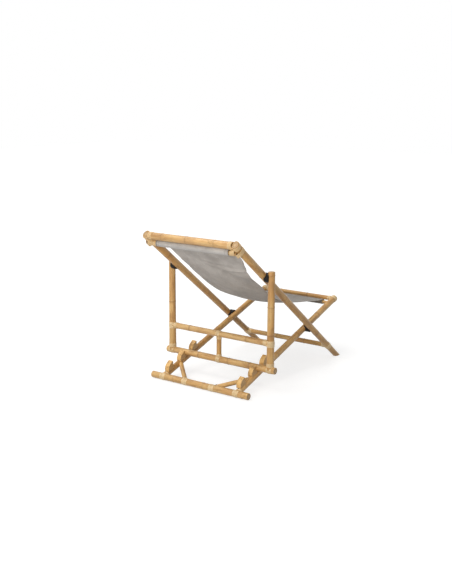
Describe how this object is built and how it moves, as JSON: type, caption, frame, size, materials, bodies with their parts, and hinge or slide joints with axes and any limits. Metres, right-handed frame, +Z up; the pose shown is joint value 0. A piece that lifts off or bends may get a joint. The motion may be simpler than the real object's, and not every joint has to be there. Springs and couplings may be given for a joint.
{
  "type": "deck chair",
  "caption": "Folding deck chair of bound bamboo poles with a hanging canvas sling seat and a notched prop frame.",
  "frame": {"origin": "on the floor, below the middle of the bounding box", "axes": "+Z up; the chair faces -Y; X runs across the chair, and the sitter's left is +X"},
  "size_m": [0.684, 0.9957, 0.771],
  "materials": {
    "bamboo_culm": "smooth varnished bamboo with darker rings at its nodes",
    "carved_bamboo": "sawn and varnished block with end grain on its sides",
    "bamboo_peel": "wound strips of pale peel, lightly glossy",
    "pale_wood": "plain turned wood",
    "black_saddle": "black satin",
    "steel": "zinc plated",
    "dark_nails": "dark oxidised",
    "canvas": "plain woven grey canvas"
  },
  "bodies": {
    "seat_frame": {"brace_binding_left": "bamboo_peel", "brace_binding_right": "bamboo_peel", "floor_bar": "bamboo_culm", "floor_bar_binding_left": "bamboo_peel", "floor_bar_binding_right": "bamboo_peel", "front_corner_binding_left": "bamboo_peel", "front_corner_binding_right": "bamboo_peel", "front_sling_rod": "bamboo_culm", "notch_block_left_1": "carved_bamboo", "notch_block_left_2": "carved_bamboo", "notch_block_left_3": "carved_bamboo", "notch_block_right_1": "carved_bamboo", "notch_block_right_2": "carved_bamboo", "notch_block_right_3": "carved_bamboo", "seat_brace_left": "bamboo_culm", "seat_brace_right": "bamboo_culm", "seat_dowels": "pale_wood", "seat_front_bar": "bamboo_culm", "seat_nails": "dark_nails", "seat_plugs": "pale_wood", "seat_rail_left": "bamboo_culm", "seat_rail_right": "bamboo_culm", "seat_saddle_left": "black_saddle", "seat_saddle_right": "black_saddle"},
    "back_frame": {"back_dowels": "pale_wood", "back_plugs": "pale_wood", "back_rail_left": "bamboo_culm", "back_rail_right": "bamboo_culm", "back_saddle_prop_left": "black_saddle", "back_saddle_prop_right": "black_saddle", "back_saddle_seat_left": "black_saddle", "back_saddle_seat_right": "black_saddle", "front_stretcher": "bamboo_culm", "pivot_bolts": "steel", "pivot_nuts": "steel", "stretcher_binding_left": "bamboo_peel", "stretcher_binding_right": "bamboo_peel", "top_bar": "bamboo_culm", "top_corner_binding_left": "bamboo_peel", "top_corner_binding_right": "bamboo_peel", "top_rod_binding_left": "bamboo_peel", "top_rod_binding_right": "bamboo_peel", "top_sling_rod": "bamboo_culm", "sling": "canvas"},
    "prop_frame": {"middle_bar_binding_left": "bamboo_peel", "middle_bar_binding_right": "bamboo_peel", "prop_dowels": "pale_wood", "prop_middle_bar": "bamboo_culm", "prop_plugs": "pale_wood", "prop_post_left": "bamboo_culm", "prop_post_right": "bamboo_culm", "prop_rest_bar": "bamboo_culm", "prop_saddle_left": "black_saddle", "prop_saddle_right": "black_saddle", "prop_spindle": "bamboo_culm", "rest_bar_binding_left": "bamboo_peel", "rest_bar_binding_right": "bamboo_peel", "spindle_binding_lower": "bamboo_peel", "spindle_binding_upper": "bamboo_peel"}
  },
  "joints": [
    {"name": "back_swing", "type": "hinge", "parent": "seat_frame", "child": "back_frame", "pos_m": [0, -0.18638, 0.21697], "axis": [1, 0, 0], "range_deg": [0, 110], "deforming": ["sling"]},
    {"name": "prop_swing", "type": "hinge", "parent": "back_frame", "child": "prop_frame", "pos_m": [0, 0.24906, 0.56583], "axis": [1, 0, 0], "range_deg": [-47, 0]}
  ],
  "couplings": [
    {"joint": "prop_swing", "follows": "back_swing", "ratio": -0.418}
  ]
}
